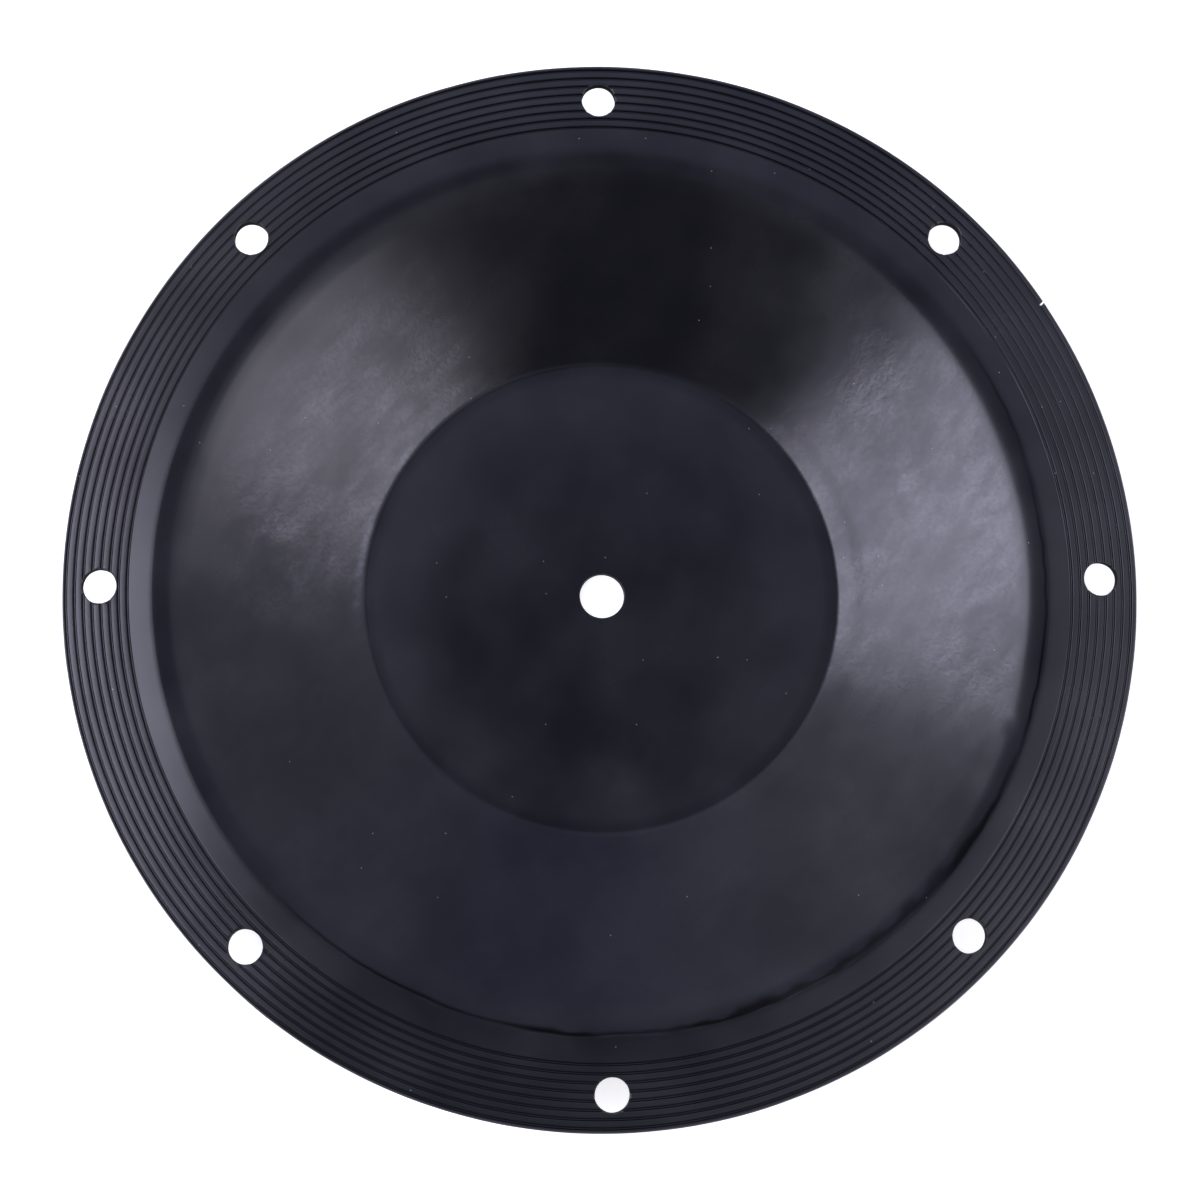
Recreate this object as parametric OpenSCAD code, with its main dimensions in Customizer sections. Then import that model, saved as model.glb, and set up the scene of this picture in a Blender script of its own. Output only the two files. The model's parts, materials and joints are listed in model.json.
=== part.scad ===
// Pump diaphragm: one rubber moulding, a shallow dish with a grooved bolting flange.
// It stands as it lies on a bench: hollow side up, resting on the flat underside of its centre.
// The origin is the middle of that underside, +Z is up and +X runs through a bolt hole.

/* [Rim and wall] */
// Outside diameter of the flange
outer_d = 305; // [270:1:360]
// Width of the flat flange, from the rim in to the shoulder
flange_w = 24; // [20:0.5:32]
// Thickness of the rubber in the flange and in the wall of the dish
rubber_t = 3.5; // [2.5:0.1:5]

/* [Dish] */
// Depth of the dish, from the flange's top face down to the clamp seat
dish_depth = 29.5; // [20:0.5:40]
// Radius of the shoulder between flange and wall, on the top face
shoulder_r = 23; // [10:0.5:30]
// Radius of the heel between the wall and the flat underside, on the lower face
heel_r = 8; // [2:0.5:14]

/* [Clamp seat] */
// Diameter of the flat that the clamp plate presses on
seat_d = 139.5; // [100:0.5:160]
// Thickness of the rubber under the clamp plate
seat_t = 3; // [2:0.1:5]
// Radius of the bend from the clamp seat up into the wall, on the top face
seat_bend_r = 4; // [2:0.5:12]
// Diameter of the hole for the pump's shaft stud
shaft_hole_d = 13.5; // [8:0.5:30]

/* [Bolt holes] */
// Number of bolt holes in the flange
bolt_count = 8; // [4:1:16]
// Distance from the rim in to the middle of a bolt hole
bolt_inset = 10.25; // [8:0.25:14]
// Diameter of a bolt hole
bolt_hole_d = 10; // [6:0.5:13]

/* [Sealing grooves] */
// Number of sealing grooves in the flange's top face
groove_count = 8; // [1:1:8]
// Distance from the rim in to the middle of the outermost groove
groove_inset = 1.3; // [1:0.1:3]
// Distance from one groove to the next
groove_pitch = 2.46; // [1.6:0.02:2.8]
// Width of a groove at the surface
groove_w = 0.9; // [0.6:0.1:1.4]
// Width of a groove at its root
groove_root_w = 0.4; // [0.2:0.1:0.8]
// Depth of a groove
groove_depth = 0.7; // [0.3:0.1:1.5]

/* [Hidden] */
$fn = 180;
// Straight steps in each bend of the section
arc_steps = 16;
// How far a cut runs past the face that it opens
cut_past = 1;

outer_r = outer_d / 2;
shaft_hole_r = shaft_hole_d / 2;
seat_r = seat_d / 2;
rim_z = seat_t + dish_depth;

// Middles of the seat's bend and of the shoulder's bend, as [radius, height]
seat_bend_c = [seat_r, seat_t + seat_bend_r];
shoulder_c = [outer_r - flange_w, rim_z - shoulder_r];

// The wall runs straight from one bend to the other, and touches both
wall_reach = shoulder_c - seat_bend_c;
wall_slope = atan2(wall_reach[1], wall_reach[0]) + asin((seat_bend_r + shoulder_r) / norm(wall_reach));

// A point on the wall's lower face, and the middle of the heel's bend, which touches both
// that face and the flat underside
under_wall = seat_bend_c + (seat_bend_r + rubber_t) * [sin(wall_slope), -cos(wall_slope)];
heel_x = under_wall[0] + ((heel_r - under_wall[1]) * cos(wall_slope) - heel_r) / sin(wall_slope);
heel_c = [heel_x, heel_r];

// A groove's sides carry on at their own slope to where the cutter ends, above the face
groove_mouth_w = groove_root_w + (groove_w - groove_root_w) * (groove_depth + cut_past) / groove_depth;

// Points along a bend of the section, from one direction to another as seen from its middle
function bend(centre, r, from, to) = [
    for (i = [0 : arc_steps])
        let (turn = from + (to - from) * i / arc_steps)
        centre + r * [cos(turn), sin(turn)]
];

// The underside of the section, from the shaft hole out to the rim
function underside() = concat(
    [[shaft_hole_r, 0]],
    bend(heel_c, heel_r, -90, wall_slope - 90),
    bend(shoulder_c, shoulder_r - rubber_t, wall_slope + 90, 90),
    [[outer_r, rim_z - rubber_t]]
);

// The top of the section, from the rim back in to the shaft hole
function top_side() = concat(
    [[outer_r, rim_z]],
    bend(shoulder_c, shoulder_r, 90, wall_slope + 90),
    bend(seat_bend_c, seat_bend_r, wall_slope - 90, -90),
    [[shaft_hole_r, seat_t]]
);

// Section of the cutter for one sealing groove, set with its middle at the flange's top face
module groove() {
    polygon([
        [-groove_root_w / 2, -groove_depth],
        [groove_root_w / 2, -groove_depth],
        [groove_mouth_w / 2, cut_past],
        [-groove_mouth_w / 2, cut_past]
    ]);
}

// Half section of the moulding, before the bolt holes are punched
module section() {
    difference() {
        polygon(concat(underside(), top_side()));
        for (i = [0 : groove_count - 1])
            translate([outer_r - groove_inset - i * groove_pitch, rim_z])
                groove();
    }
}

// One bolt hole, on the flange's +X side
module bolt_hole() {
    translate([outer_r - bolt_inset, 0, rim_z - rubber_t - cut_past])
        cylinder(h = rubber_t + 2 * cut_past, d = bolt_hole_d);
}

module diaphragm() {
    color("#26272d") difference() {
        rotate_extrude() section();
        for (i = [0 : bolt_count - 1])
            rotate(i * 360 / bolt_count)
                bolt_hole();
    }
}

diaphragm();
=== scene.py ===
# %% [markdown]
# A pump diaphragm is the moving wall of a pump. This one is a shallow dish of moulded black rubber: its
# grooved flange is bolted between two halves of a housing, and a clamp plate moves the flat centre up and
# down. The CAD model is loaded first, as a fixed frame, so that every size below starts from it.

import json
import math

import bpy
import numpy as np
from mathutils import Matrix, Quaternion, Vector, noise


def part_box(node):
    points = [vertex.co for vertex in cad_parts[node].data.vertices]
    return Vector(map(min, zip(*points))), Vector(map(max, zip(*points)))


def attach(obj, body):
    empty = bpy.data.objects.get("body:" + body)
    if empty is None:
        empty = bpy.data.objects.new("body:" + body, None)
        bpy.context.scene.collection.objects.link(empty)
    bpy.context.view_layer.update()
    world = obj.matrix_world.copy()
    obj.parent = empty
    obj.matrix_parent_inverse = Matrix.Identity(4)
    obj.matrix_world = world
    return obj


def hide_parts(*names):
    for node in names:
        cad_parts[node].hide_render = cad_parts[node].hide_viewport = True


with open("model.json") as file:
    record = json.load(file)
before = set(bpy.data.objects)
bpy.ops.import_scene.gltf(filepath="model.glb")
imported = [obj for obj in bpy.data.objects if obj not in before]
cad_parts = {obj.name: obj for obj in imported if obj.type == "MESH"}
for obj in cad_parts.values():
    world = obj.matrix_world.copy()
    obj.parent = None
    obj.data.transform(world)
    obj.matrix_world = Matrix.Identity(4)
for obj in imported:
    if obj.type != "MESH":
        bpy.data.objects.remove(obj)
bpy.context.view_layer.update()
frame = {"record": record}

# %% [markdown]
# The rubber is one piece, so it is one mesh. We could keep the CAD mesh and only paint it, but a real
# moulding has small radii where the drawing has corners, and it is uneven in ways that a drawing is not.
# The light shows both. So a new skin is revolved from the same section. Its main sizes are read from the
# frame, and the rest are the drawing's own sizes in millimetres.

# %% Read the sizes
MM = 0.001
mounts = {mount["name"]: mount for mount in frame["record"]["mounts"]}
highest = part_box("diaphragm")[1]

outer_r = highest.x / MM
rim_z = highest.z / MM
under_z = mounts["flange_under"]["pos_m"][2] / MM
seat_z = mounts["clamp_seat"]["pos_m"][2] / MM
shaft_r = mounts["shaft_hole"]["dims"]["r_mm"]
bolts = mounts["flange_bolts"]["dims"]
rubber_t = rim_z - under_z

FLANGE_W = 24.0
SHOULDER_R = 23.0
HEEL_R = 8.0
SEAT_R = 69.75
SEAT_BEND_R = 4.0
print(f"rim radius {outer_r:.2f} mm, rim height {rim_z:.2f} mm, rubber {rubber_t:.2f} mm thick")

# %% [markdown]
# The wall runs straight from the bend at the clamp seat to the shoulder's bend, and it touches both. So its
# slope isn't a size of its own: it follows from where the two bends are. The lower face lies one rubber
# thickness under the upper one.

# %% Find the wall's slope
flat_r = outer_r - FLANGE_W
seat_bend = Vector((SEAT_R, seat_z + SEAT_BEND_R))
reach = Vector((flat_r, rim_z - SHOULDER_R)) - seat_bend
wall_slope = math.atan2(reach.y, reach.x) + math.asin((SEAT_BEND_R + SHOULDER_R) / reach.length)
out_of_wall = Vector((math.sin(wall_slope), -math.cos(wall_slope)))
upper_face = seat_bend + SEAT_BEND_R * out_of_wall
lower_face = upper_face + rubber_t * out_of_wall


def wall_radius(face, height):
    """Radius at which a face of the wall, carried on straight, reaches a height."""
    return face.x + (height - face.y) / math.tan(wall_slope)


print(f"wall slope {math.degrees(wall_slope):.2f} degrees")

# %% [markdown]
# The section is written as a drawing gives it: corners, each with a bend radius. The flange's top face has
# eight fine rings that grip the housing. The mould cuts them as small V grooves with a rounded root, so
# each is four corners. The points go round the section from the shaft hole, out along the underside, up
# the rim and back in over the top.

# %% Write the section as corners with bends
GROOVES = 8
GROOVE_INSET = 1.3
GROOVE_PITCH = 2.46
GROOVE_W = 0.9
GROOVE_ROOT_W = 0.4
GROOVE_DEPTH = 0.7
LIP_R = 0.22
ROOT_R = 0.2
RIM_R = 0.12
EDGE_R = 0.3

corners = [
    (shaft_r, 0, EDGE_R),
    (wall_radius(lower_face, 0), 0, HEEL_R),
    (wall_radius(lower_face, under_z), under_z, SHOULDER_R - rubber_t),
    (outer_r, under_z, EDGE_R),
    (outer_r, rim_z, RIM_R),
]
for ring in range(GROOVES):
    middle = outer_r - GROOVE_INSET - ring * GROOVE_PITCH
    root_z = rim_z - GROOVE_DEPTH
    corners += [
        (middle + GROOVE_W / 2, rim_z, LIP_R),
        (middle + GROOVE_ROOT_W / 2, root_z, ROOT_R),
        (middle - GROOVE_ROOT_W / 2, root_z, ROOT_R),
        (middle - GROOVE_W / 2, rim_z, LIP_R),
    ]
corners += [
    (wall_radius(upper_face, rim_z), rim_z, SHOULDER_R),
    (wall_radius(upper_face, seat_z), seat_z, SEAT_BEND_R),
    (shaft_r, seat_z, EDGE_R),
]
print(len(corners), "corners in the section")

# %% [markdown]
# Each corner becomes an arc that touches the two straight faces beside it. A bevel modifier could round the
# corners too, but it has one width for all of them.

# %% Turn the corners into arcs
ARC_STEP = 0.4
LEAST_STEPS = 2


def arc(before, corner, after, bend):
    """Points of the arc of radius bend that rounds off a corner between two straight faces."""
    inward = (corner - before).normalized()
    onward = (after - corner).normalized()
    turn = math.atan2(inward.x * onward.y - inward.y * onward.x, inward.dot(onward))
    start = corner - inward * bend * math.tan(abs(turn) / 2)
    middle = start + math.copysign(bend, turn) * Vector((-inward.y, inward.x))
    spoke = start - middle
    across = Vector((-spoke.y, spoke.x))
    steps = max(LEAST_STEPS, math.ceil(bend * abs(turn) / ARC_STEP))
    angles = [turn * k / steps for k in range(steps + 1)]
    return [middle + spoke * math.cos(a) + across * math.sin(a) for a in angles]


places = [Vector(corner[:2]) for corner in corners]
outline = []
for i, corner in enumerate(corners):
    outline += arc(places[i - 1], places[i], places[(i + 1) % len(places)], corner[2])
print(len(outline), "points on the arcs")

# %% [markdown]
# The unevenness of real rubber, which comes next, can only move points that are there. So the straight
# faces get points along them too. Three narrow zones get the finest ones, because small marks are pressed in
# there: the foot of the wall, the edge of the shoulder and the innermost groove's lip. Each is given as the
# radius of its middle, its reach to both sides and its step.

# %% Fill in the straight faces
LONGEST_STEP = 4.0
LAST_STRETCH = 1.5
FOOT_R = SEAT_R + 2.6
CREASE_R = 126.2
innermost = outer_r - GROOVE_INSET - (GROOVES - 1) * GROOVE_PITCH
flash_r = innermost - GROOVE_W / 2
FINE_ZONES = ((FOOT_R, 7.0, 0.8), (CREASE_R, 1.4, 0.14), (flash_r, 0.8, 0.2))


def step_at(point):
    """Longest step of the section at a point: short in the fine zones, but not underneath the foot."""
    lowest = seat_z + max(0, point.x - FOOT_R) * math.tan(wall_slope) / 2
    for middle, reach, step in FINE_ZONES:
        if abs(point.x - middle) < reach and point.y >= lowest:
            return step
    return LONGEST_STEP


section = []
for point, following in zip(outline, outline[1:] + outline[:1]):
    length = (following - point).length
    here = point
    gone = 0.0
    section.append(here)
    while length - gone > LAST_STRETCH * step_at(here):
        gone += step_at(here)
        here = point.lerp(following, gone / length)
        section.append(here)
section = np.array([tuple(point) for point in section])
print(len(section), "points in the section")

# %% [markdown]
# To revolve the section, its points are repeated at equal turns. The skin is kept for now as three tables,
# radius, height and turn, with a row for each turn, because the unevenness is easiest to say in those.

# %% Revolve the section
SEGMENTS = 328
NEARLY = 0.01
turns = np.arange(SEGMENTS) * 2 * math.pi / SEGMENTS
radius = np.tile(section[:, 0], (SEGMENTS, 1))
height = np.tile(section[:, 1], (SEGMENTS, 1))
turn = np.tile(turns[:, None], (1, len(section)))
first_on_top = int(np.argmax(section[:, 1] > rim_z - NEARLY))
on_top = (np.arange(len(section)) >= first_on_top)[None, :]
print(radius.size, "points on the skin")

# %% [markdown]
# A few helpers say how things vary. A wander goes smoothly round the part and comes back to where it began,
# by walking round a circle in a field of noise, and wanders of different sizes add up. The others fade
# something in or out: along a value, round the part, or to both sides of the middle of a mark. A side of the
# part is given as its bearing, and how many degrees from there it is still full and where it ends.

# %% Helpers for unevenness


def wander(lumps, seed):
    """A smooth wander about zero, once round the part, with about that many lumps."""
    swing = lumps / (2 * math.pi)
    circle = [Vector((swing * math.cos(t), swing * math.sin(t), seed)) for t in turns]
    return np.array([noise.noise(point) for point in circle])[:, None]


def wanders(parts):
    """A sum of wanders, each given as its lumps, its seed and its share."""
    return sum(share * wander(lumps, seed) for lumps, seed, share in parts)


def ramp(values, start, end):
    """0 before start, 1 after end, and smooth between them."""
    share = np.clip((values - start) / (end - start), 0, 1)
    return share * share * (3 - 2 * share)


def side(bearing, full, end):
    """1 within full degrees of a bearing, 0 beyond end degrees, and smooth between them."""
    away = np.abs((np.degrees(turns[:, None]) - bearing + 180) % 360 - 180)
    return ramp(away, end, full)


def hump(away, half_w):
    """1 in the middle of a mark, about a third at its half width, and soon 0 beyond it."""
    return np.exp(-((away / half_w) ** 2))


sample = wander(lumps=8, seed=4.5)
print(f"a wander of 8 lumps swings from {sample.min():.2f} to {sample.max():.2f}")

# %% [markdown]
# The rim is trimmed with a knife after moulding, so it isn't a perfect circle, and it isn't centred on the
# grooves: the outer lip is thin on one side and wide on the other. The trim moves the points of the rim
# sideways, and the grooves are shifted as a set.

# %% Trim the rim and shift the grooves
RIM_LIP = 0.32
TRIM_SLOW = 0.12
TRIM_FAST = 0.06
GROOVE_SHIFT = 0.38
GROOVE_SWAY = 0.06

at_rim = radius > outer_r - RIM_LIP
in_grooves = on_top * ~at_rim * ramp(radius, flat_r, flash_r - LIP_R)
radius += at_rim * (TRIM_SLOW * wander(lumps=7, seed=1.5) + TRIM_FAST * wander(lumps=70, seed=2.5))
radius += in_grooves * (GROOVE_SWAY * wander(lumps=9, seed=3.5) - GROOVE_SHIFT * np.cos(turn))
print(f"rim radius now {radius.max():.2f} mm at most")

# %% [markdown]
# A rubber sheet relaxes when it leaves the hot mould. The wall and the centre have shallow dents, about a
# tenth of a millimetre deep. Nobody sees them as shape, but they bend the reflections of the lights, and
# without them the part looks turned from steel. The underside of the centre stays flat, because the part
# stands on it.

# %% Let the wall and the centre relax
WALL_DENT = 0.12
SEAT_DENT = 0.12
DENT_SIZE = 26.0
DENT_SEED = 5.5

spots = np.stack([radius * np.cos(turn), radius * np.sin(turn)], axis=-1).reshape(-1, 2) / DENT_SIZE
dents = np.array([noise.noise(Vector((x, y, DENT_SEED))) for x, y in spots]).reshape(radius.shape)
on_wall = ramp(radius, SEAT_R, SEAT_R + DENT_SIZE / 2) * ramp(radius, outer_r, flat_r)
in_centre = ramp(radius, SEAT_R + DENT_SIZE / 2, SEAT_R) * ramp(radius, shaft_r, shaft_r + DENT_SIZE / 2)
dents *= WALL_DENT * on_wall + SEAT_DENT * on_top * in_centre
height += dents
print(f"dents up to {np.abs(dents).max():.2f} mm deep")

# %% [markdown]
# The flange isn't held by anything here, so it hangs a little under its own weight. On the left it falls
# steeply just past the shoulder, in the smooth ring, and less across the grooves. On the right it falls
# evenly. Each is a few degrees at most, but it turns the ring towards a lamp: this is why the ring shines
# on the left and is dark at the back.

# %% Let the flange hang
FLANGE_SWAY = 0.15
RING_START_R = CREASE_R + 1.0
LEFT_SIDE = (185, 16, 56)
LEFT_RING_FALL = 0.58
LEFT_GROOVES_FALL = 0.85
RIGHT_SIDE = (-28, 30, 80)
RIGHT_RING_FALL = 0.34
RIGHT_GROOVES_FALL = 0.95

past_ring = np.clip((radius - RING_START_R) / (flash_r - RING_START_R), 0, 1)
past_grooves = np.clip((radius - flash_r) / (outer_r - flash_r), 0, 1)
left = side(*LEFT_SIDE)
right = side(*RIGHT_SIDE)
fall = left * (LEFT_RING_FALL * past_ring + LEFT_GROOVES_FALL * past_grooves)
fall += right * (RIGHT_RING_FALL * past_ring + RIGHT_GROOVES_FALL * past_grooves)
fall -= FLANGE_SWAY * wander(lumps=8, seed=4.5) * past_grooves
height -= fall
print(f"flange falls by up to {fall.max():.2f} mm")

# %% [markdown]
# Where the wall meets the seat and the shoulder, thick rubber shrank more than thin rubber as it cooled. So a
# shallow sink mark runs round the foot of the wall, and a bead, as shallow, round the start of the shoulder.
# The centre shrank too, and it lies a little off the middle of the rim, because the rim was trimmed later.

# %% Sink mark, bead and offset
SINK_R = SEAT_R + 5.0
SINK_DEPTH = 0.14
SINK_HALF_W = 2.8
BEAD_R = 121.8
BEAD_HEIGHT = 0.12
BEAD_HALF_W = 2.0
CENTRE_SHIFT = 0.38
CENTRE_SHRINK = 0.17

sink = SINK_DEPTH * (1 + wander(lumps=11, seed=9.5)) * hump(radius - SINK_R, SINK_HALF_W)
bead = BEAD_HEIGHT * (1 + wander(lumps=13, seed=12.5)) * hump(radius - BEAD_R, BEAD_HALF_W)
height += on_top * (bead - sink)
radius += (CENTRE_SHIFT * np.cos(turn) - CENTRE_SHRINK) * ramp(radius, flat_r, SEAT_R + SINK_HALF_W)
print(f"sink mark {sink.max():.2f} mm deep, bead {bead.max():.2f} mm high")

# %% [markdown]
# Where the flat ring of the flange turns into the shoulder, two blocks of the mould meet. On the front and
# the right of this part they leave a thin, uneven crease. At the front it is a real furrow, steep on the
# flange's side and softer on the shoulder's, so it is pressed into the mesh: a dip across the radius, which
# wanders, swells and dies out along its length. On the right there is no furrow, only painted shade in the
# colour and a duller gloss. Two shallow dents lie beside it.

# %% Press the crease into the shoulder
CREASE_WANDER = 0.45
CREASE_DEPTH = 0.25
CREASE_STEEP_W = 0.14
CREASE_SOFT_W = 0.5
CREASE_SIDE = (-52, 70, 92)
CREASE_WHOLE = 0.9
CREASE_BREAKS = 0.9
CREASE_WAVES = ((14, 7.5, 1.0), (50, 8.5, 0.8), (150, 13.5, 1.0))
FURROW_SIDE = (-88, 20, 50)
THICK_SIDE = (-27, 0, 8)
THICKER = 0.7
DENTS_BESIDE = ((-19.6, 121.6), (-39.4, 120.4))
DENT_HALF_W = 1.7
DENT_DEPTH = 0.22

strength = side(*CREASE_SIDE) * np.clip(CREASE_WHOLE + CREASE_BREAKS * wander(lumps=45, seed=6.5), 0, 1)
crease_r = CREASE_R + CREASE_WANDER * wanders(CREASE_WAVES)
from_crease = (radius - crease_r) / (1 + THICKER * side(*THICK_SIDE))
crease_w = np.where(from_crease > 0, CREASE_STEEP_W, CREASE_SOFT_W)
furrow = CREASE_DEPTH * strength * side(*FURROW_SIDE)
height -= on_top * furrow * hump(from_crease, crease_w)
for bearing, dent_r in DENTS_BESIDE:
    dent = Vector((dent_r * math.cos(math.radians(bearing)), dent_r * math.sin(math.radians(bearing))))
    away = np.hypot(radius * np.cos(turn) - dent.x, radius * np.sin(turn) - dent.y)
    height -= on_top * DENT_DEPTH * hump(away, DENT_HALF_W)
print(f"furrow up to {furrow.max():.2f} mm deep")

# %% [markdown]
# Rubber also creeps into the joints of the mould. On the right it left a hair of flash, a raised line little
# more than a tenth of a millimetre high, on the lip of the innermost groove. It catches the lamp on the
# other side, so it shows as a bright hairline.

# %% Raise the flash line
FLASH_H = 0.12
FLASH_HALF_W = 0.17
FLASH_SIDE = (20, 10, 27)
FLASH_WHOLE = 0.8
lip_r = flash_r - LIP_R - GROOVE_SHIFT * np.cos(turns[:, None])
flash = side(*FLASH_SIDE) * np.clip(FLASH_WHOLE + wander(lumps=60, seed=10.5), 0, 1)
height += on_top * FLASH_H * flash * hump(radius - lip_r, FLASH_HALF_W)
print(f"flash line up to {FLASH_H * flash.max():.2f} mm high")

# %% [markdown]
# Now the tables become a mesh. Neighbouring rows and columns give the four-sided faces, and both directions
# close on themselves, so the skin has no open edge.

# %% Build the skin
index = np.arange(radius.size).reshape(radius.shape)
next_row = np.roll(index, -1, axis=0)
quads = np.stack([index, next_row, np.roll(next_row, -1, axis=1), np.roll(index, -1, axis=1)], axis=-1)
points = np.stack([radius * np.cos(turn), radius * np.sin(turn), height], axis=-1) * MM

skin = bpy.data.meshes.new("diaphragm_skin")
skin.from_pydata(points.reshape(-1, 3).tolist(), [], quads.reshape(-1, 4).tolist())
skin.shade_smooth()
diaphragm = bpy.data.objects.new("moulded_diaphragm", skin)
bpy.context.scene.collection.objects.link(diaphragm)
print(len(skin.polygons), "faces in the skin")

# %% [markdown]
# The eight bolt holes are punched through the finished sheet, straight across the grooves, so they are cut
# with a boolean, as the punch does. Rubber springs back when the punch leaves, so a hole is a little
# smaller than its punch, its edges are slightly rounded, and it is never quite round. One cutter mesh holds
# all eight punches, and each is lowered as far as the flange hangs there.

# %% Make the punches
CUT_PAST = 2.5
PUNCH_SIDES = 64
SPRING_BACK = 0.15
HOLE_WANDER = 0.07
HOLE_SWING = 2
HOLE_SEED = 10.5
hole_r = bolts["hole_r_mm"] - SPRING_BACK
bearings = [2 * math.pi * hole / bolts["count"] for hole in range(bolts["count"])]
hole_middles = [bolts["pcd_mm"] / 2 * Vector((math.cos(b), math.sin(b))) for b in bearings]
at_bolts = int(np.argmin(np.abs(section[:, 0] - bolts["pcd_mm"] / 2)))
falls = [fall[hole * SEGMENTS // bolts["count"], at_bolts] for hole in range(bolts["count"])]
punch_side = [
    (hole_r + EDGE_R, under_z - CUT_PAST),
    (hole_r + EDGE_R, under_z),
    (hole_r, under_z + EDGE_R),
    (hole_r, rim_z - EDGE_R),
    (hole_r + EDGE_R / 3, rim_z - EDGE_R / 3),
    (hole_r + EDGE_R, rim_z),
    (hole_r + EDGE_R, rim_z + CUT_PAST),
]
cutter_points = []
cutter_faces = []


def add_prism(rings):
    """Adds a closed tube to the cutter, from equal rings of points, with a face at each end."""
    first = len(cutter_points)
    sides = len(rings[0])
    for ring in rings:
        cutter_points.extend(Vector(point) * MM for point in ring)
    for i in range(len(rings) - 1):
        for k in range(sides):
            here = first + i * sides + k
            there = first + i * sides + (k + 1) % sides
            cutter_faces.append((here, there, there + sides, here + sides))
    last = first + (len(rings) - 1) * sides
    cutter_faces.append(tuple(first + k for k in reversed(range(sides))))
    cutter_faces.append(tuple(last + k for k in range(sides)))


ways = [2 * math.pi * k / PUNCH_SIDES for k in range(PUNCH_SIDES)]
ways = [(math.cos(a), math.sin(a)) for a in ways]
for hole, middle in enumerate(hole_middles):
    waves = [noise.noise(Vector((HOLE_SWING * c, HOLE_SWING * s, hole + HOLE_SEED))) for c, s in ways]
    uneven = [1 + HOLE_WANDER / hole_r * wave for wave in waves]
    add_prism([
        [(middle.x + r * u * c, middle.y + r * u * s, z - falls[hole]) for (c, s), u in zip(ways, uneven)]
        for r, z in punch_side
    ])
print(len(hole_middles), "punches of", 2 * hole_r, "mm")

# %% [markdown]
# The knife that trimmed the rim also caught once and tore out a nick, which is a little wider inside than at
# its mouth. It is added to the same cutter, as a slanting wedge that runs in from outside the rim.

# %% Make the knife's nick
NICK_TURN = math.radians(32.3)
NICK_SLANT = math.radians(17)
NICK_DEPTH = 1.3
NICK_INNER_W = 0.85
NICK_MOUTH_W = 0.5
nick_mouth = outer_r * Vector((math.cos(NICK_TURN), math.sin(NICK_TURN)))
nick_way = Vector((math.cos(NICK_TURN + NICK_SLANT), math.sin(NICK_TURN + NICK_SLANT)))
nick_across = Vector((-nick_way.y, nick_way.x))
nick_line = [
    (nick_mouth - NICK_DEPTH * nick_way, NICK_INNER_W / 2),
    (nick_mouth, NICK_MOUTH_W / 2),
    (nick_mouth + NICK_DEPTH * nick_way, NICK_MOUTH_W / 2),
]
wedge = [place - half_w * nick_across for place, half_w in nick_line]
wedge += [place + half_w * nick_across for place, half_w in reversed(nick_line)]
add_prism([[(p.x, p.y, z) for p in wedge] for z in (under_z - CUT_PAST, rim_z + CUT_PAST)])
print("one nick of", NICK_DEPTH, "mm")

# %% [markdown]
# The boolean and the normals are worked out once and kept as the final mesh, so the piece needs no
# modifier afterwards. Weighted normals let the wide faces keep their own direction: the lands between the
# grooves stay flat, and all of the turn is taken by the small radii.

# %% Cut the holes and keep the result
SHARP = math.radians(50)
cutter_mesh = bpy.data.meshes.new("punches")
cutter_mesh.from_pydata(cutter_points, [], cutter_faces)
cutter_mesh.shade_smooth()
punches = bpy.data.objects.new("punches", cutter_mesh)
bpy.context.scene.collection.objects.link(punches)


def keep_modified(piece):
    """Makes the mesh that the modifiers show the piece's own mesh."""
    bpy.context.view_layer.update()
    seen = piece.evaluated_get(bpy.context.evaluated_depsgraph_get())
    piece.data = bpy.data.meshes.new_from_object(seen)
    piece.modifiers.clear()


cut = diaphragm.modifiers.new("punched_holes", "BOOLEAN")
cut.operation = "DIFFERENCE"
cut.solver = "MANIFOLD"
cut.object = punches
keep_modified(diaphragm)
bpy.data.objects.remove(punches)

diaphragm.data.set_sharp_from_angle(angle=SHARP)
flat_lands = diaphragm.modifiers.new("flat_lands", "WEIGHTED_NORMAL")
flat_lands.keep_sharp = True
keep_modified(diaphragm)
diaphragm.data.name = "moulded_diaphragm"
diaphragm.data.calc_loop_triangles()
print(len(diaphragm.data.loop_triangles), "triangles in the finished piece")

# %% [markdown]
# In the crease the colour is darkened as painted shade, and the gloss is dulled. Along the hair of flash the
# colour is lifted to grey as a painted highlight. The material needs to know where they are, so each point of
# the finished mesh keeps two numbers from 0 to 1, which are worked out from its radius and bearing, as the
# furrow and the ridge were. The band of painted shade ends sharply on the flange's side. On the shoulder's
# side
# it frays: it is half a millimetre wide on the right, and up to three and a half at the front. It is a hump
# too, but with a higher power, which makes its middle flat.

# %% Mark the crease and the flash for the material
SHADE_AND_DULL_STEEP_W = 0.35
SHADE_AND_DULL_SOFT_W = 0.5
FRAYED_W = 1.5
FRAYED_SIDE = (-64, 20, 48)
FRAYED_WHOLE = 0.5
FRAYED_WAVES = ((40, 14.5, 2.0), (130, 15.5, 1.6))
FRAYED_MOST = 2
SHADE_AND_DULL_POWER = 4
finished = np.empty(len(diaphragm.data.vertices) * 3)
diaphragm.data.vertices.foreach_get("co", finished)
finished = finished.reshape(-1, 3) / MM
point_r = np.hypot(finished[:, 0], finished[:, 1])
point_turn = np.arctan2(finished[:, 1], finished[:, 0])
point_on_top = finished[:, 2] > under_z


def at_points(by_turn):
    """What varies with the turn only, read at the bearing of each finished point."""
    return np.interp(point_turn, turns, by_turn[:, 0], period=2 * math.pi)


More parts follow.
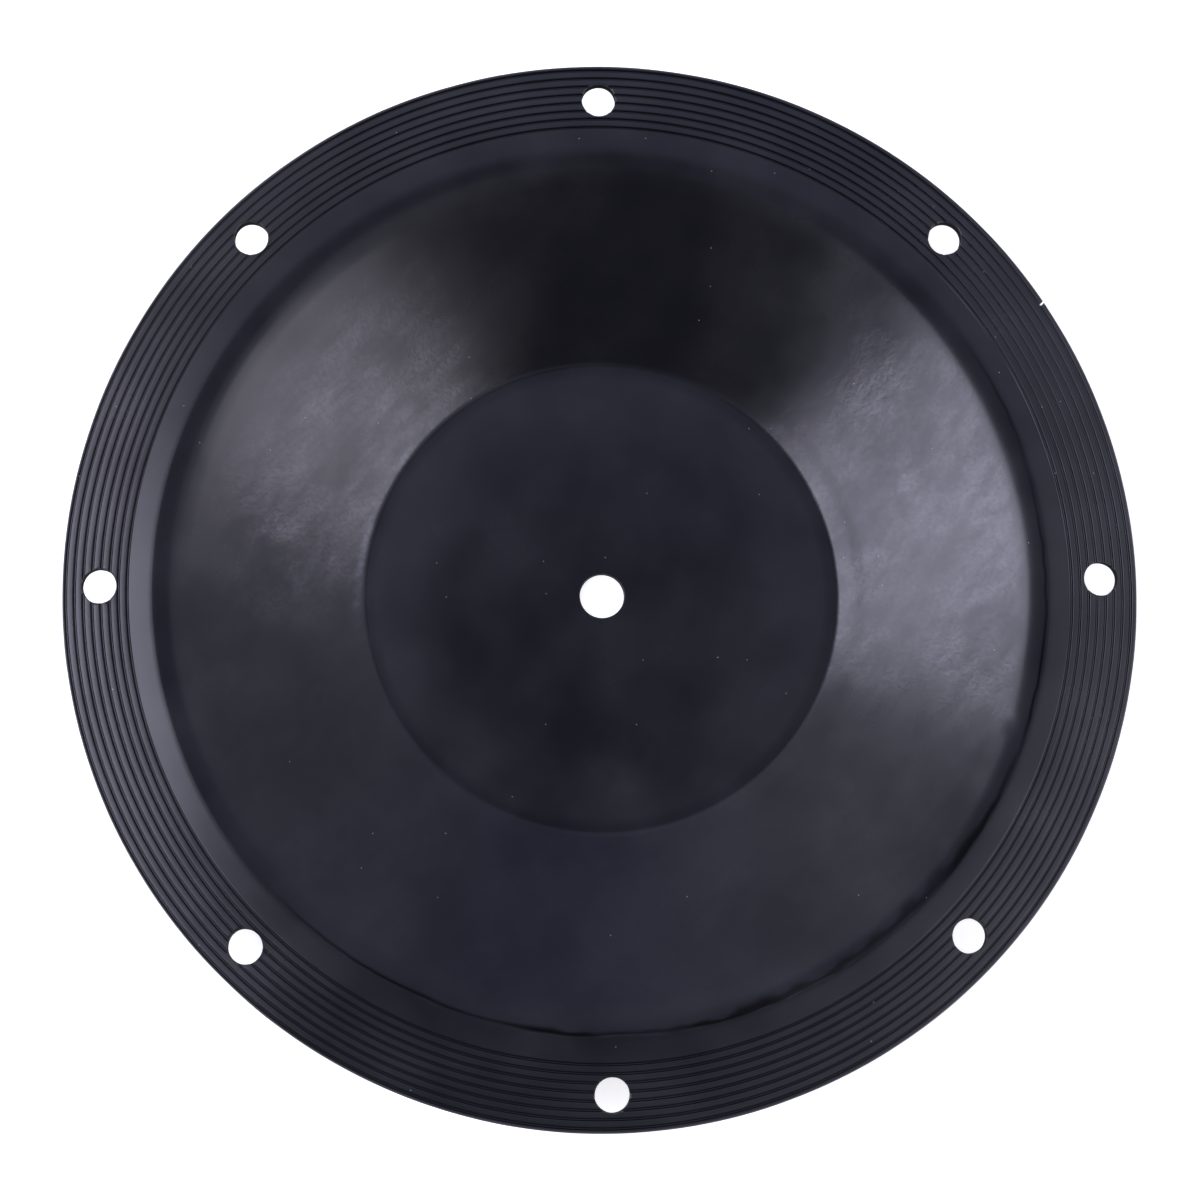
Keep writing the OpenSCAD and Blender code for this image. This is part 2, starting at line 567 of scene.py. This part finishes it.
frayed = side(*FRAYED_SIDE) * np.clip(FRAYED_WHOLE + wanders(FRAYED_WAVES), 0, FRAYED_MOST)
from_crease = point_r - at_points(crease_r)
shade_and_dull_w = np.where(from_crease > 0, SHADE_AND_DULL_STEEP_W, SHADE_AND_DULL_SOFT_W + FRAYED_W * at_points(frayed))
crease_shade_and_dullness = point_on_top * at_points(strength) * np.exp(-((from_crease / shade_and_dull_w) ** SHADE_AND_DULL_POWER))
flash_highlight = point_on_top * at_points(flash) * hump(point_r - at_points(lip_r), FLASH_HALF_W)
for name, amount in (("crease", crease_shade_and_dullness), ("flash", flash_highlight)):
    diaphragm.data.attributes.new(name, "FLOAT", "POINT").data.foreach_set("value", amount)
    print(int((amount > 0.5).sum()), "points in the", name)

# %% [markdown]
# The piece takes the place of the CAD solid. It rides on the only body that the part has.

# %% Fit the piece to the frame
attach(diaphragm, "root")
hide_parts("diaphragm")
print("the piece stands for the CAD node diaphragm")

# %% [markdown]
# Materials are node trees. Two small helpers keep them readable: one turns a hex colour, as seen on a
# screen, into the linear numbers that light is worked out in, and one adds a node with its settings and
# links in a single call.

# %% Helpers for materials


def linear(hex_colour):
    """An sRGB hex colour as the linear RGBA that shaders take."""
    channels = [int(hex_colour[i:i + 2], 16) / 255 for i in (1, 3, 5)]
    return [c / 12.92 if c <= 0.04045 else ((c + 0.055) / 1.055) ** 2.4 for c in channels] + [1.0]


def add_node(tree, kind, inputs=None, **settings):
    """Adds one node. settings are its properties, and inputs its values or links by socket."""
    made = tree.nodes.new(kind)
    for name, value in settings.items():
        setattr(made, name, value)
    for name, value in (inputs or {}).items():
        if isinstance(value, bpy.types.NodeSocket):
            tree.links.new(value, made.inputs[name])
        else:
            made.inputs[name].default_value = value
    return made


print("black rubber in linear light:", [round(c, 4) for c in linear("#101114")])

# %% [markdown]
# The skin is moulded nitrile rubber, black with carbon. Pressed against a polished steel mould it comes out
# satin: a dark body under a thin clear gloss, with an IOR of about 1.52, as most rubbers have. The eye sees
# almost only reflections, so what varies over the surface is mostly how well it mirrors.

# %% Start the rubber
RUBBER_IOR = 1.52
rubber = bpy.data.materials.new("moulded_nitrile_rubber")
rubber.use_nodes = True
tree = rubber.node_tree
shader = tree.nodes["Principled BSDF"]
shader.inputs["IOR"].default_value = RUBBER_IOR

where = add_node(tree, "ShaderNodeTexCoord").outputs["Object"]
flat_place = add_node(tree, "ShaderNodeVectorMath", {0: where, 1: (1, 1, 0)}, operation="MULTIPLY")
from_axis = add_node(tree, "ShaderNodeVectorMath", {0: flat_place.outputs[0]}, operation="LENGTH")
axis_distance = from_axis.outputs["Value"]
print(rubber.name, "started with", len(tree.nodes), "nodes")

# %% [markdown]
# On the wall, where the rubber flowed furthest in the mould, a waxy bloom has come to the surface. First we
# say where: the wall is picked out by its distance from the axis, and two sides of it, where the bloom is
# strong, by their bearing. So the bloom needs no painted map. On the left side it thins out towards the
# shoulder, and on part of that side it has also gathered in a strip along the foot of the wall.

# %% Where the bloom is
WALL_FADE_MM = 4.0
BLOOM_RIGHT = (11, 18, 37)
BLOOM_LEFT = (150, 17, 39)
BLOOM_ELSEWHERE = 0.12
LEFT_THINS_R = 96.0
LEFT_GONE_R = 120.0
STRIP_LEFT = (163, 12, 34)
STRIP_MM = 4.2

wall_in = add_node(tree, "ShaderNodeMapRange", {
    "Value": axis_distance, "From Min": SEAT_R * MM,
    "From Max": (SEAT_R + WALL_FADE_MM / 2) * MM}, interpolation_type="SMOOTHSTEP")
wall_out = add_node(tree, "ShaderNodeMapRange", {
    "Value": axis_distance, "From Min": (CREASE_R - WALL_FADE_MM) * MM,
    "From Max": (CREASE_R - 2 * WALL_FADE_MM) * MM}, interpolation_type="SMOOTHSTEP")
wall_mask = add_node(tree, "ShaderNodeMath", {
    0: wall_in.outputs[0], 1: wall_out.outputs[0]}, operation="MULTIPLY")
outward = add_node(tree, "ShaderNodeVectorMath", {0: flat_place.outputs[0]}, operation="NORMALIZE")
sides = []
for (bearing, full, end), elsewhere in (
        (BLOOM_RIGHT, BLOOM_ELSEWHERE), (BLOOM_LEFT, BLOOM_ELSEWHERE), (STRIP_LEFT, 0)):
    way = (math.cos(math.radians(bearing)), math.sin(math.radians(bearing)), 0)
    toward = add_node(tree, "ShaderNodeVectorMath", {0: outward.outputs[0], 1: way}, operation="DOT_PRODUCT")
    one_side = add_node(tree, "ShaderNodeMapRange", {
        "Value": toward.outputs["Value"], "From Min": math.cos(math.radians(end)),
        "From Max": math.cos(math.radians(full)), "To Min": elsewhere}, interpolation_type="SMOOTHSTEP")
    sides.append(one_side.outputs[0])
thinning = add_node(tree, "ShaderNodeMapRange", {
    "Value": axis_distance, "From Min": LEFT_GONE_R * MM,
    "From Max": LEFT_THINS_R * MM}, interpolation_type="SMOOTHSTEP")
left_bloom = add_node(tree, "ShaderNodeMath", {0: sides[1], 1: thinning.outputs[0]}, operation="MULTIPLY")
either_side = add_node(tree, "ShaderNodeMath", {0: sides[0], 1: left_bloom.outputs[0]}, operation="MAXIMUM")
bloom_mask = add_node(tree, "ShaderNodeMath", {
    0: wall_mask.outputs[0], 1: either_side.outputs[0]}, operation="MULTIPLY")
at_foot = add_node(tree, "ShaderNodeMapRange", {
    "Value": axis_distance, "From Min": (SEAT_R + STRIP_MM) * MM,
    "From Max": (SEAT_R + STRIP_MM / 2) * MM}, interpolation_type="SMOOTHSTEP")
strip = add_node(tree, "ShaderNodeMath", {0: at_foot.outputs[0], 1: sides[2]}, operation="MULTIPLY")
print("bloom on the sides at", BLOOM_RIGHT[0], "and", BLOOM_LEFT[0], "degrees")

# %% [markdown]
# The bloom lies in clouds some 16 mm across, drawn out into slanting wisps. Inside the clouds it has
# crinkled, with a grain of about a millimetre. Each is a noise at its own size, and they multiply, so that
# the fine ones only show inside the coarse ones. For the wisps, the place is turned and then squeezed before
# the noise reads it.

# %% What the bloom looks like
CLOUD_MM = 16.0
WISP_MM = 4.0
WISP_SLANT = math.radians(-45)
WISP_LENGTH = 3.5
CRINKLE_MM = 1.3

cloud = add_node(tree, "ShaderNodeTexNoise", {
    "Vector": where, "Scale": 1 / (CLOUD_MM * MM), "Detail": 2.0, "Roughness": 0.4, "Distortion": 0.3})
cloud_edge = add_node(tree, "ShaderNodeMapRange", {
    "Value": cloud.outputs["Fac"], "From Min": 0.30, "From Max": 0.70, "To Min": 0.3},
    interpolation_type="SMOOTHSTEP")
gathered = add_node(tree, "ShaderNodeMath", {
    0: cloud_edge.outputs[0], 1: strip.outputs[0]}, operation="MAXIMUM")
slanted = add_node(tree, "ShaderNodeMapping", {
    "Vector": where, "Rotation": (0, 0, WISP_SLANT), "Scale": (1, WISP_LENGTH, 1)}, vector_type="TEXTURE")
wisp = add_node(tree, "ShaderNodeTexNoise", {
    "Vector": slanted.outputs[0], "Scale": 1 / (WISP_MM * MM), "Detail": 2.0, "Distortion": 0.2})
wisp_edge = add_node(tree, "ShaderNodeMapRange", {
    "Value": wisp.outputs["Fac"], "From Min": 0.28, "From Max": 0.72, "To Min": 0.3},
    interpolation_type="SMOOTHSTEP")
wispy = add_node(tree, "ShaderNodeMath", {
    0: gathered.outputs[0], 1: wisp_edge.outputs[0]}, operation="MULTIPLY")
bloom = add_node(tree, "ShaderNodeMath", {
    0: wispy.outputs[0], 1: bloom_mask.outputs[0]}, operation="MULTIPLY")
crinkle = add_node(tree, "ShaderNodeTexNoise", {
    "Vector": where, "Scale": 1 / (CRINKLE_MM * MM), "Detail": 2.0, "Distortion": 0.4})
crinkle_edge = add_node(tree, "ShaderNodeMapRange", {
    "Value": crinkle.outputs["Fac"], "From Min": 0.3, "From Max": 0.7, "To Min": 0.45})
grainy_bloom = add_node(tree, "ShaderNodeMath", {
    0: bloom.outputs[0], 1: crinkle_edge.outputs[0]}, operation="MULTIPLY")
print("clouds of", CLOUD_MM, "mm, wisps of", WISP_MM, "mm and a crinkle of", CRINKLE_MM, "mm")

# %% [markdown]
# The colour starts at carbon black with a breath of blue. The bloom lifts it a little, and more where it has
# caked in the strip at the foot of the wall. The trimmed lip of the rim is a rubbed brown grey, and a few
# specks of dust lie about. Real specks are a tenth of a millimetre: they are drawn three times as large, so
# that they show.

# %% Colour of the rubber
DUST_SPACING_MM = 10.0
DUST_MM = 0.28
DUST_SHARE = 0.22

bloomed = add_node(tree, "ShaderNodeMix", {
    "Factor": grainy_bloom.outputs[0], 6: linear("#101114"), 7: linear("#1e1d23")}, data_type="RGBA")
caked = add_node(tree, "ShaderNodeMath", {
    0: strip.outputs[0], 1: grainy_bloom.outputs[0]}, operation="MULTIPLY")
whitened = add_node(tree, "ShaderNodeMix", {
    "Factor": caked.outputs[0], 6: bloomed.outputs[2], 7: linear("#4a4a54")}, data_type="RGBA")
lip = add_node(tree, "ShaderNodeMapRange", {
    "Value": axis_distance, "From Min": (outer_r - 2 * RIM_LIP) * MM,
    "From Max": (outer_r - RIM_LIP / 2) * MM, "To Max": 0.8})
lipped = add_node(tree, "ShaderNodeMix", {
    "Factor": lip.outputs[0], 6: whitened.outputs[2], 7: linear("#3f3b38")}, data_type="RGBA")
dust = add_node(tree, "ShaderNodeTexVoronoi", {
    "Vector": where, "Scale": 1 / (DUST_SPACING_MM * MM)}, voronoi_dimensions="2D")
speck = add_node(tree, "ShaderNodeMath", {
    0: dust.outputs["Distance"], 1: DUST_MM / 2 / DUST_SPACING_MM}, operation="LESS_THAN")
chosen = add_node(tree, "ShaderNodeMath", {0: dust.outputs["Color"], 1: DUST_SHARE}, operation="LESS_THAN")
dusty = add_node(tree, "ShaderNodeMath", {0: speck.outputs[0], 1: chosen.outputs[0]}, operation="MULTIPLY")
colour = add_node(tree, "ShaderNodeMix", {
    "Factor": dusty.outputs[0], 6: lipped.outputs[2], 7: linear("#8d8c90")}, data_type="RGBA")
# Painted shade: in the crease the colour is darkened towards black, as if shade fell into it.
painted_crease_shade_and_dull = add_node(tree, "ShaderNodeAttribute", attribute_name="crease").outputs["Fac"]
darkened = add_node(tree, "ShaderNodeMix", {
    "Factor": painted_crease_shade_and_dull, 6: colour.outputs[2], 7: linear("#0b0a0a")}, data_type="RGBA")
# Painted highlight: along the flash line the colour is lifted to grey, as if it caught the lamp.
painted_flash_highlight = add_node(tree, "ShaderNodeAttribute", attribute_name="flash").outputs["Fac"]
greyed = add_node(tree, "ShaderNodeMix", {
    "Factor": painted_flash_highlight, 6: darkened.outputs[2], 7: linear("#55545a")}, data_type="RGBA")
tree.links.new(greyed.outputs[2], shader.inputs["Base Color"])
print(len(tree.nodes), "nodes with the colour")

# %% [markdown]
# The gloss is what makes it rubber. Fresh from the mould the roughness is about a quarter, with a faint haze
# from handling. The bloom makes the gloss both duller and stronger, as wax does, so the clouds show where a
# lamp is mirrored and vanish where the room is dark. Where metal has pressed on the rubber it is polished: in
# a ring round the seat, under the edge of the clamp plate, and on the flange, more and more towards the rim.
# The middle of the seat is duller, the knife leaves the lip of the rim dull, and in the crease only a quarter
# is mirrored.

# %% Gloss of the rubber
HAZE_MM = 30.0
HAZE_LOW = 0.35
HAZE_HIGH = 0.65
CLEAN_ROUGHNESS = 0.22
HAZY_ROUGHNESS = 0.28
BLOOM_DULLS = 0.10
LIP_DULLS = 0.25
WORN_GLOSS = 0.35
FRESH_GLOSS = 0.50
BLOOM_SHINES = 0.55
PLATE_SHINES = 0.16
MIDDLE_SHARE = -0.35
FLANGE_SHINES = 0.2
TORN_SHARE = 0.25
PLATE_START_R = 44.0
PLATE_FULL_R = 58.0
PLATE_EDGE_R = 66.0
PLATE_GONE_R = 68.5
FLANGE_START_R = 123.0
FLANGE_FULL_R = 143.0
haze = add_node(tree, "ShaderNodeTexNoise", {"Vector": where, "Scale": 1 / (HAZE_MM * MM), "Detail": 4.0})
clean = add_node(tree, "ShaderNodeMapRange", {
    "Value": haze.outputs["Fac"], "From Min": HAZE_LOW, "From Max": HAZE_HIGH,
    "To Min": CLEAN_ROUGHNESS, "To Max": HAZY_ROUGHNESS})
bloom_dull = add_node(tree, "ShaderNodeMath", {
    0: grainy_bloom.outputs[0], 1: BLOOM_DULLS, 2: clean.outputs[0]}, operation="MULTIPLY_ADD")
lip_dull = add_node(tree, "ShaderNodeMath", {
    0: lip.outputs[0], 1: LIP_DULLS, 2: bloom_dull.outputs[0]}, operation="MULTIPLY_ADD")
tree.links.new(lip_dull.outputs[0], shader.inputs["Roughness"])
worn = add_node(tree, "ShaderNodeMapRange", {
    "Value": haze.outputs["Fac"], "From Min": HAZE_LOW, "From Max": HAZE_HIGH,
    "To Min": WORN_GLOSS, "To Max": FRESH_GLOSS})
waxed = add_node(tree, "ShaderNodeMath", {
    0: grainy_bloom.outputs[0], 1: BLOOM_SHINES, 2: worn.outputs[0]}, operation="MULTIPLY_ADD")
plate_in = add_node(tree, "ShaderNodeMapRange", {
    "Value": axis_distance, "From Min": PLATE_START_R * MM, "From Max": PLATE_FULL_R * MM,
    "To Min": MIDDLE_SHARE})
plate_out = add_node(tree, "ShaderNodeMapRange", {
    "Value": axis_distance, "From Min": PLATE_GONE_R * MM, "From Max": PLATE_EDGE_R * MM,
    "To Max": PLATE_SHINES})
flange_in = add_node(tree, "ShaderNodeMapRange", {
    "Value": axis_distance, "From Min": FLANGE_START_R * MM, "From Max": FLANGE_FULL_R * MM,
    "To Max": FLANGE_SHINES})
pressed = add_node(tree, "ShaderNodeMath", {
    0: plate_in.outputs[0], 1: plate_out.outputs[0], 2: flange_in.outputs[0]}, operation="MULTIPLY_ADD")
polished = add_node(tree, "ShaderNodeMath", {0: waxed.outputs[0], 1: pressed.outputs[0]}, operation="ADD")
whole = add_node(tree, "ShaderNodeMapRange", {"Value": painted_crease_shade_and_dull, "To Min": 1.0, "To Max": TORN_SHARE})
mirrored = add_node(tree, "ShaderNodeMath", {
    0: polished.outputs[0], 1: whole.outputs[0]}, operation="MULTIPLY")
tree.links.new(mirrored.outputs[0], shader.inputs["Specular IOR Level"])
print(len(tree.nodes), "nodes with the gloss")

# %% [markdown]
# A faint bump gives the skin the orange peel of a mould that isn't new, and the bloom its crinkle. The depths
# are hundredths of a millimetre, so they bend reflections without being seen as shape.

# %% Orange peel and crinkle
PEEL_MM = 3.0
PEEL_DEPTH_MM = 0.006
CRINKLE_DEPTH_MM = 0.07

peel = add_node(tree, "ShaderNodeTexNoise", {"Vector": where, "Scale": 1 / (PEEL_MM * MM), "Detail": 2.0})
peel_bump = add_node(tree, "ShaderNodeBump", {
    "Height": peel.outputs["Fac"], "Strength": 1.0, "Distance": PEEL_DEPTH_MM * MM})
crinkled = add_node(tree, "ShaderNodeMath", {
    0: crinkle.outputs["Fac"], 1: bloom.outputs[0]}, operation="MULTIPLY")
crinkle_bump = add_node(tree, "ShaderNodeBump", {
    "Height": crinkled.outputs[0], "Strength": 1.0, "Distance": CRINKLE_DEPTH_MM * MM,
    "Normal": peel_bump.outputs[0]})
tree.links.new(crinkle_bump.outputs[0], shader.inputs["Normal"])
print(len(tree.nodes), "nodes with the bump")

# %% [markdown]
# The punched and trimmed edges never touched the mould. Cut nitrile rubber is dull and browner, with fine
# lines in the direction of the blade, and its torn pits swallow most of the light, so it mirrors little. The
# real lines are a few hundredths of a millimetre apart and are drawn coarser to show.

# %% Cut rubber
CUT_LINE_MM = 0.25
LINE_STRETCH = 0.08
CUT_DEPTH_MM = 0.03
CUT_GLOSS = 0.02
cut_rubber = bpy.data.materials.new("cut_nitrile_rubber")
cut_rubber.use_nodes = True
tree = cut_rubber.node_tree
shader = tree.nodes["Principled BSDF"]
shader.inputs["IOR"].default_value = RUBBER_IOR
shader.inputs["Specular IOR Level"].default_value = CUT_GLOSS

where = add_node(tree, "ShaderNodeTexCoord").outputs["Object"]
upright = add_node(tree, "ShaderNodeVectorMath", {0: where, 1: (1, 1, LINE_STRETCH)}, operation="MULTIPLY")
lines = add_node(tree, "ShaderNodeTexNoise", {
    "Vector": upright.outputs[0], "Scale": 1 / (CUT_LINE_MM * MM), "Detail": 2.0})
shade = add_node(tree, "ShaderNodeMix", {
    "Factor": lines.outputs["Fac"], 6: linear("#0f0e10"), 7: linear("#242220")}, data_type="RGBA")
tree.links.new(shade.outputs[2], shader.inputs["Base Color"])
dull = add_node(tree, "ShaderNodeMapRange", {"Value": lines.outputs["Fac"], "To Min": 0.6, "To Max": 0.85})
tree.links.new(dull.outputs[0], shader.inputs["Roughness"])
score = add_node(tree, "ShaderNodeBump", {"Height": lines.outputs["Fac"], "Distance": CUT_DEPTH_MM * MM})
tree.links.new(score.outputs[0], shader.inputs["Normal"])
print(cut_rubber.name, "made of", len(tree.nodes), "nodes")

# %% [markdown]
# The cut material goes on the faces that stand upright in the holes and at the rim. They are found by where
# they are and by their normals.

# %% Put the materials on the faces
UPRIGHT = 0.3
diaphragm.data.materials.clear()
diaphragm.data.materials.append(rubber)
diaphragm.data.materials.append(cut_rubber)
cut_faces = 0
for face in diaphragm.data.polygons:
    if abs(face.normal.z) > UPRIGHT:
        continue
    spot = face.center.xy / MM
    in_hole = any((spot - middle).length < hole_r + EDGE_R for middle in hole_middles)
    if in_hole or spot.length > outer_r - GROOVE_W or spot.length < shaft_r + EDGE_R:
        face.material_index = 1
        cut_faces += 1
print(cut_faces, "cut faces")

# %% [markdown]
# The floor is white paper. A product photographer lights it until it burns out to white, which the small
# emission does here, so the bolt holes read as white and only a faint shadow is left.

# %% Floor
FLOOR_HALF = 4.0
FLOOR_GLOW = 0.65
paper = bpy.data.materials.new("matt_white_paper")
paper.use_nodes = True
sheet = paper.node_tree.nodes["Principled BSDF"]
sheet.inputs["Base Color"].default_value = linear("#e9e9e9")
sheet.inputs["Roughness"].default_value = 0.9
sheet.inputs["Emission Color"].default_value = linear("#ffffff")
sheet.inputs["Emission Strength"].default_value = FLOOR_GLOW

floor_mesh = bpy.data.meshes.new("floor")
floor_corners = [(x * FLOOR_HALF, y * FLOOR_HALF, 0) for x, y in ((-1, -1), (1, -1), (1, 1), (-1, 1))]
floor_mesh.from_pydata(floor_corners, [], [(0, 1, 2, 3)])
floor_mesh.materials.append(paper)
floor = bpy.data.objects.new("floor", floor_mesh)
bpy.context.scene.collection.objects.link(floor)
print("floor of", 2 * FLOOR_HALF, "m")

# %% [markdown]
# Black rubber is lit by what it mirrors, so the room matters as much as the lamps. The room is a dim blue
# grey above the far side and dark on the near side, where the photographer stands. Light spills from the two
# lamps onto the ceiling as soft washes, the camera and its arm hang over the part as a dark patch, and the
# walls are pale down at the floor. Each is a smooth ramp on the direction, mixed over the one before, and is
# given as where it starts, where it is full, and its tint. The washes and the dark patch are round: they
# begin with the direction of their middle, and their ramp is on the cosine of the angle from it.

# %% Room
NEAR_TINT = "#444449"
FAR_SIDE = (-0.4, 0.45, "#989fc8")
LEFT_WASH = ((-0.55, 0.45, 0.70), 0.72, 0.97, "#e3e2fb")
FAR_RIGHT_WASH = ((0.75, 0.30, 0.59), 0.74, 0.97, "#cacae6")
RIGHT_WASH = ((0.55, -0.10, 0.83), 0.84, 0.98, "#e0dff8")
CAMERA_ARM = ((0.035, 0.04, 1.0), 0.986, 0.998, "#3e3e46")
PALE_WALLS = (0.32, 0.08, "#f4f4f6")
world = bpy.data.worlds.new("studio_room")
world.use_nodes = True
bpy.context.scene.world = world
tree = world.node_tree
look = add_node(tree, "ShaderNodeTexCoord").outputs["Generated"]
look_parts = add_node(tree, "ShaderNodeSeparateXYZ", {0: look})


def mix_room(under, amount, start, end, tint):
    """Mixes a tint over what the room has so far, where an amount goes from start to end."""
    share = add_node(tree, "ShaderNodeMapRange", {
        "Value": amount, "From Min": start, "From Max": end}, interpolation_type="SMOOTHSTEP")
    mixed = add_node(tree, "ShaderNodeMix", {
        "Factor": share.outputs[0], 6: under, 7: linear(tint)}, data_type="RGBA")
    return mixed.outputs[2]


room = mix_room(linear(NEAR_TINT), look_parts.outputs["Y"], *FAR_SIDE)
for way, start, end, tint in (LEFT_WASH, FAR_RIGHT_WASH, RIGHT_WASH, CAMERA_ARM):
    toward = add_node(tree, "ShaderNodeVectorMath", {
        0: look, 1: Vector(way).normalized()}, operation="DOT_PRODUCT")
    room = mix_room(room, toward.outputs["Value"], start, end, tint)
room = mix_room(room, look_parts.outputs["Z"], *PALE_WALLS)
tree.links.new(room, tree.nodes["Background"].inputs["Color"])
print(world.name, "made of", len(tree.nodes), "nodes")

# %% [markdown]
# Two soft boxes stand upright beside the part, one on the left and one on the right and nearer. Their places
# and sizes were found by following mirrored rays: the bright fan on the right of the wall is the image of the
# left box, and the other way round. A light's power is worked out from how bright its face should look.

# %% Soft boxes


def soft_box(name, middle, size, facing, lean, radiance, tint):
    """An upright rectangular light, which leans sideways. radiance is how bright its face looks."""
    lamp = bpy.data.lights.new(name, "AREA")
    lamp.shape = "RECTANGLE"
    lamp.size, lamp.size_y = size
    lamp.energy = radiance * math.pi * size[0] * size[1]
    lamp.color = linear(tint)[:3]
    box = bpy.data.objects.new(name, lamp)
    box.location = middle
    upright = Vector(facing).to_track_quat("-Z", "Y")
    box.rotation_euler = (upright @ Quaternion((0, 0, 1), math.radians(lean))).to_euler()
    box.visible_camera = False
    bpy.context.scene.collection.objects.link(box)
    print(f"{name}: {lamp.energy:.1f} W")


soft_box(
    "left_soft_box", middle=(-0.85, -0.01, 1.46), size=(1.0, 1.66), facing=(1, 0, 0),
    lean=6, radiance=5.5, tint="#e4e2fb")
soft_box(
    "right_soft_box", middle=(0.80, -0.45, 0.83), size=(0.82, 0.95), facing=(-1, 0, 0),
    lean=8, radiance=3.0, tint="#ede9fa")

# %% [markdown]
# The camera looks almost straight down. Its place, turn and focal length were found by matching the rim and
# the bolt holes with the picture, which is 1200 pixels square. The focal length is kept in pixels, because
# that is how it was found, and it is turned into millimetres for a 36 mm sensor.

# %% Camera
IMAGE_PX = 1200
FOCAL_PX = 2071.7
SENSOR_MM = 36.0
CAMERA_PLACE_MM = (-27.8, -83.2, 612.4)
CAMERA_TURN_DEG = (7.687, -2.483, -0.772)
camera = bpy.data.objects.new("camera", bpy.data.cameras.new("camera"))
camera.data.sensor_width = SENSOR_MM
camera.data.lens = FOCAL_PX / IMAGE_PX * SENSOR_MM
camera.location = [value * MM for value in CAMERA_PLACE_MM]
camera.rotation_euler = [math.radians(value) for value in CAMERA_TURN_DEG]
bpy.context.scene.collection.objects.link(camera)
bpy.context.scene.camera = camera
bpy.context.scene.view_settings.view_transform = "Standard"
print(f"lens of {camera.data.lens:.1f} mm")
